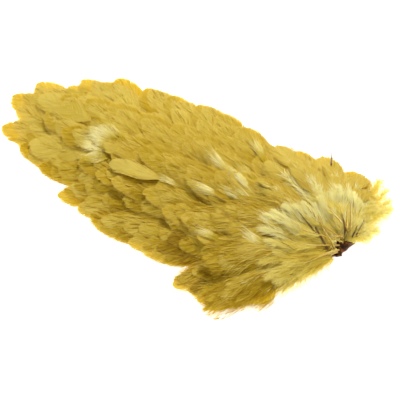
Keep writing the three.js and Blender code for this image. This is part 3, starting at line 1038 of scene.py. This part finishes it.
# Combed bundles of loose down. width is in millimetres, and glow is where along it a bundle is palest.
wisps = [
    {"from": (123, 139), "to": (101, 122), "width": 4, "count": 90, "glow": 0.45, "tone": 0.55},
    {"from": (117, 140), "to": (93, 124), "width": 4, "count": 110, "glow": 0.5, "tone": 0.8},
    {"from": (112, 141), "to": (86, 129), "width": 4, "count": 120, "glow": 0.5, "tone": 1.05},
    {"from": (108, 144), "to": (81, 134), "width": 4, "count": 120, "glow": 0.45, "tone": 1.15},
    {"from": (106, 147), "to": (78, 141), "width": 4, "count": 120, "glow": 0.45, "tone": 1.2},
    {"from": (105, 151), "to": (76, 149), "width": 4, "count": 120, "glow": 0.45, "tone": 1.2},
    {"from": (106, 155), "to": (77, 157), "width": 4, "count": 120, "glow": 0.5, "tone": 0.9},
    {"from": (111, 158), "to": (82, 164), "width": 4, "count": 110, "glow": 0.5, "tone": 0.4},
    {"from": (191, 191), "to": (154, 175), "width": 3.5, "count": 80, "glow": 0.62, "tone": 0.5},
    {"from": (240, 176), "to": (202, 148), "width": 3, "count": 100, "glow": 0.56, "tone": 0.9},
    {"from": (262, 205), "to": (216, 162), "width": 2.6, "count": 130, "glow": 0.52, "tone": 0.9},
    {"from": (232, 203), "to": (192, 180), "width": 3, "count": 110, "glow": 0.6, "tone": 0.85},
    {"from": (268, 215), "to": (230, 187), "width": 3, "count": 100, "glow": 0.52, "tone": 0.8},
    {"from": (252, 205), "to": (210, 185), "width": 2.4, "count": 80, "glow": 0.5, "tone": 0.7},
    {"from": (260, 188), "to": (238, 160), "width": 3, "count": 90, "glow": 0.6, "tone": 0.3},
    {"from": (270, 168), "to": (251, 136), "width": 4, "count": 110, "glow": 0.65, "tone": 0.3},
    {"from": (225, 243), "to": (192, 226), "width": 4, "count": 90, "glow": 0.6, "tone": 0.6},
    {"from": (276, 252), "to": (238, 236), "width": 5, "count": 150, "glow": 0.74, "tone": 0.8},
    {"from": (284, 234), "to": (255, 214), "width": 4.5, "count": 110, "glow": 0.7, "tone": 0.8},
]
wispLay = {"tufts": 8, "tuftLift": 1.5, "hairLift": 1.2}  # the first ones are a tuft, the others long hairs
tuftCoat = dict(saddleCoat, between=(-0.1, 0.7), over=1.5, spread=1, fanOut=11, scatter=4, curve=12,
                width=0.3, lift=0.5, toneScatter=0.25, finish=wispFinish, past=3)
longHair = {"between": (-0.1, 0.5), "fanOut": 5, "scatter": 3, "curve": 8, "width": 0.22, "toneScatter": 0.45}
downTufts = [  # the downy bases of the fan, from near their quills to where their barbs end
    {"from": (322, 250), "to": (262, 217), "tone": 0.85},
    {"from": (318, 246), "to": (270, 211), "tone": 0.85},
    {"from": (322, 247), "to": (281, 207), "tone": 0.7},
    {"from": (324, 246), "to": (292, 206), "tone": 0.85},
    {"from": (327, 247), "to": (303, 203), "tone": 1.1},
    {"from": (330, 248), "to": (313, 204), "tone": 1.05},
    {"from": (334, 250), "to": (323, 200), "tone": 1.15},
    {"from": (339, 247), "to": (331, 192), "tone": 1.1},
    {"from": (343, 243), "to": (339, 187), "tone": 1.1},
    {"from": (347, 240), "to": (348, 190), "tone": 0.95},
    {"from": (350, 238), "to": (356, 194), "tone": 0.8},
    {"from": (353, 236), "to": (363, 203), "tone": 0.55},
    {"from": (322, 252), "to": (256, 231), "tone": 0.7},
    {"from": (324, 254), "to": (262, 245), "tone": 0.4},
    {"from": (322, 258), "to": (254, 264), "tone": 0.12},
    {"from": (326, 257), "to": (272, 257), "tone": 0.2},
    {"from": (330, 260), "to": (283, 271), "tone": 0.15},
    {"from": (334, 262), "to": (296, 280), "tone": 0.1},
    {"from": (337, 246), "to": (320, 203), "tone": 1.1},
    {"from": (340, 246), "to": (326, 208), "tone": 1.1},
    {"from": (320, 264), "to": (262, 282), "tone": 0.2},
    {"from": (322, 266), "to": (272, 291), "tone": 0.25},
]
tuftLay = {"pathWidth": 8, "lift": 1.2, "liftStep": 0.2, "nearFrom": 14, "nearLift": 0.8}
tuftDown = dict(fanDown, between=(0.02, 0.84), count=230, reach=9.5, lean=(19, 10), curve=(-4, 26), wave=12,
                width=0.3, lift=0.45, rise=0.3, over=0.2)
# dark strands between the tufts: painted shade
tuftShadeStrands = dict(gaps, between=(0.02, 0.6), count=5, reach=11, lift=0.5, rise=1.6, lean=(9, 5), width=0.24)
quillLay = {"pathWidth": 1, "lift": 2.3, "bare": 8}  # the rest are dark: quills still young and brown from the skin, and the one from (325, 251), which is a dark line of painted shade in a parting between feathers
bareQuills = [
    {"from": (336, 257), "to": (300, 269), "width": 1.2},
    {"from": (331, 253), "to": (317, 219), "width": 1.1},
    {"from": (334, 253), "to": (322, 224), "width": 0.8},
    {"from": (347, 237), "to": (347, 206), "width": 1.6},
    {"from": (350, 238), "to": (349, 212), "width": 0.7},
    {"from": (357, 239), "to": (366, 221), "width": 1},
    {"from": (341, 247), "to": (334, 239), "width": 0.8},
    {"from": (343, 245), "to": (339, 236), "width": 0.8},
    {"from": (327, 254), "to": (314, 240), "width": 1.7},
    # a dark line of painted shade in the parting between two fan feathers
    {"from": (325, 251), "to": (296, 212), "width": 0.8},
    {"from": (318, 243), "to": (304, 223), "width": 0.9},
    {"from": (356, 238), "to": (364, 224), "width": 1},
    {"from": (352, 239), "to": (357, 229), "width": 0.9},
    {"from": (344, 243), "to": (340, 234), "width": 0.8},
    {"from": (331, 168), "to": (331, 156), "width": 0.9},
]


def onPile(tree, column, row):
    # The point of the pile that a pixel of the photograph shows
    right, up, back, eye = photoView()
    ray = (right * (column - view["middle"]) * view["pixel"] - up * (row - view["middle"]) * view["pixel"]
           - back * view["distance"])
    hit = tree.ray_cast(eye, ray.normalized())[0]
    if hit is None:  # beside the pile, just above the floor
        hit = eye + ray * ((eye.z - 1) / -ray.z)
    return np.array(hit[:2])


def topForm(index, top, length):
    shape = dict(saddle, width=top["width"], tone=top["tone"] - 0.25, splits=2, contrast=0.9, downShare=0.08,
                 hairs=[], coats=[dict(saddleCoat, count=12)], barbs=80, roundFrom=top["round"], fray=0.12,
                 slits=0, ragged=0.04, barbTilt=0.05, quillWidth=0.2)
    return shape, top["width"], top["lift"]


def wispForm(index, wisp, length):
    coat = dict(tuftCoat, count=wisp["count"], length=(0.25 * length, 0.6 * length))
    lift = wispLay["tuftLift"]
    if index >= wispLay["tufts"]:
        coat.update(longHair, length=(0.4 * length, 0.8 * length))
        lift = wispLay["hairLift"]
    shape = dict(saddle, width=wisp["width"], tone=wisp["tone"], downShare=0, hairs=[], coats=[coat], barbs=0,
                 quillWidth=0.12)
    return shape, wisp["width"], lift


def downForm(index, tuft, length):
    down = dict(tuftDown, outward=tuft["tone"])
    shape = dict(saddle, width=6, hairs=[down, tuftShadeStrands], coats=[], barbs=0, downTone=tuft["tone"] + 0.22,
                 quillWidth=0.4, shaftFinish=downFinish)
    raised = tuftLay["nearLift"] if index >= tuftLay["nearFrom"] else 0
    return shape, tuftLay["pathWidth"], tuftLay["lift"] + tuftLay["liftStep"] * (index % 3) + raised


def quillForm(index, bare, length):
    shape = dict(saddle, width=2, hairs=[], coats=[], barbs=0, quillWidth=bare["width"], quillTaper=0.5,
                 shaftFinish=quillFinish if index < quillLay["bare"] else youngQuillAndShadeFinish)
    return shape, quillLay["pathWidth"], quillLay["lift"]


def layOnTop(tree, form, items, name, seed, bow, bends=None):
    # Lays a feather or bundle for each item. form gives its shape, its path's width and its height.
    chance = np.random.default_rng(seed)
    made = 0
    for index, item in enumerate(items):
        root, tip = onPile(tree, *item["from"]), onPile(tree, *item["to"])
        away = tip - root
        heading, length = math.degrees(math.atan2(away[1], -away[0])), float(np.hypot(*away))
        shape, width, lift = form(index, item, length)
        path = drapePath(tree, root, heading, length, width, chance.normal(0, bow), lift, bends)
        plume = Plume()
        growFeather(plume, path, dict(shape, length=length), (0, 1), chance)
        if "glow" in item:  # a bundle fades into the feathers at both ends
            for marks in plume.marks:
                marks[:, 0] += 0.5 - 2 * (1 - np.exp(-((marks[:, 3] - item["glow"]) / 0.34) ** 2))
        made += finishPlume(plume, f"{name}_{index + 1}", None)
    return made


triangles += layOnTop(bed, topForm, topFeathers, "top_feather", seed=31, bow=1)
triangles += layOnTop(bed, wispForm, wisps, "down_wisp", seed=47, bow=1.5)
triangles += layOnTop(bed, downForm, downTufts, "fan_down", seed=61, bow=1)
triangles += layOnTop(bed, quillForm, bareQuills, "front_quill", seed=53, bow=0.2, bends=1)
print("top feathers and wisps laid,", triangles, "triangles in all")


skinLook = {
    "cuts": 4,
    "crinkle": 0.35,
    "crinkleSize": 1.6,
    "headCrinkle": 1.5,
    "headLip": 2.8,
    "headSlant": 3.4,
    "edgeWave": 1.3,
    "edgeWaveSize": 1.3,
    "dark": (0.012, 0.003, 0.001, 1),
    "light": (0.3, 0.11, 0.02, 1),
}


def crinkled(points, size):
    # Smooth bumps with no pattern that repeats within the skin
    x, y, z = points.T / size
    return (np.sin(x * 1.3 + 2.1 * np.sin(y * 0.9 + z)) + np.sin(y * 1.7 + 1.4 * np.sin(x * 1.1 - z * 2))
            + np.sin((x + y) * 2.3 + np.sin(x * 3.1))) / 3


def makeSkinFinish():
    paint, tree, shader = newPaint("dried skin", {"Roughness": 0.6, "Specular IOR Level": 0.15})
    place = addNode(tree, "ShaderNodeTexCoord", (-1100, 0)).outputs["Object"]
    broad = addNode(tree, "ShaderNodeTexNoise", (-900, 100), {"Vector": place, "Scale": 450, "Detail": 5})
    pits = addNode(tree, "ShaderNodeTexVoronoi", (-900, -200), {"Vector": place, "Scale": 420})
    blotches = stretch(tree, broad.outputs["Fac"], (-700, 100), {"From Min": 0.4, "From Max": 0.68})
    tones = blend(tree, blotches, skinLook["dark"], skinLook["light"], (-500, 100))
    bump = addNode(tree, "ShaderNodeBump", (-300, -200),
                   {"Strength": 0.5, "Distance": 0.3 * mm, "Height": pits.outputs["Distance"]})
    tree.links.new(tones, shader.inputs["Base Color"])
    tree.links.new(bump.outputs["Normal"], shader.inputs["Normal"])
    return paint


def makeSkin():
    mesh = nodes["skin"].data.copy()
    mesh.name = "saddle_skin"
    skin = bpy.data.objects.new("saddle_skin", mesh)
    bpy.context.scene.collection.objects.link(skin)
    bpy.context.view_layer.objects.active = skin
    skin.select_set(True)
    bpy.ops.object.mode_set(mode="EDIT")
    bpy.ops.mesh.select_all(action="SELECT")
    bpy.ops.mesh.remove_doubles(threshold=0.00001)
    bpy.ops.mesh.subdivide(number_cuts=skinLook["cuts"])
    bpy.ops.object.mode_set(mode="OBJECT")
    points = np.array([v.co for v in mesh.vertices]) / mm
    upper = points[:, 2] > 0.3
    head = np.clip((points[:, 0] - points[:, 0].max() + 7) / 5, 0, 1)
    farHalf = np.clip((points[:, 1] - 5) / 4, 0, 1)
    slant = np.clip((points[:, 1] - 4) / 11, 0, 1)
    amount = skinLook["crinkle"] + (skinLook["headCrinkle"] - skinLook["crinkle"]) * head
    points[:, 2] += upper * amount * crinkled(points, skinLook["crinkleSize"])
    points[:, 2] += upper * head * farHalf * skinLook["headLip"]
    waves = crinkled(points + 7, skinLook["edgeWaveSize"])
    points[:, 0] += head * (0.3 + 0.7 * upper) * skinLook["edgeWave"] * waves
    points[:, 0] += head * slant * skinLook["headSlant"]
    points[:, 2] = np.maximum(points[:, 2], 0)
    mesh.vertices.foreach_set("co", (points * mm).astype(np.float32).ravel())
    mesh.shade_smooth()
    mesh.materials.clear()
    mesh.materials.append(makeSkinFinish())
    skin.select_set(False)
    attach(skin, "root")
    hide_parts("skin")


makeSkin()
print("skin made")
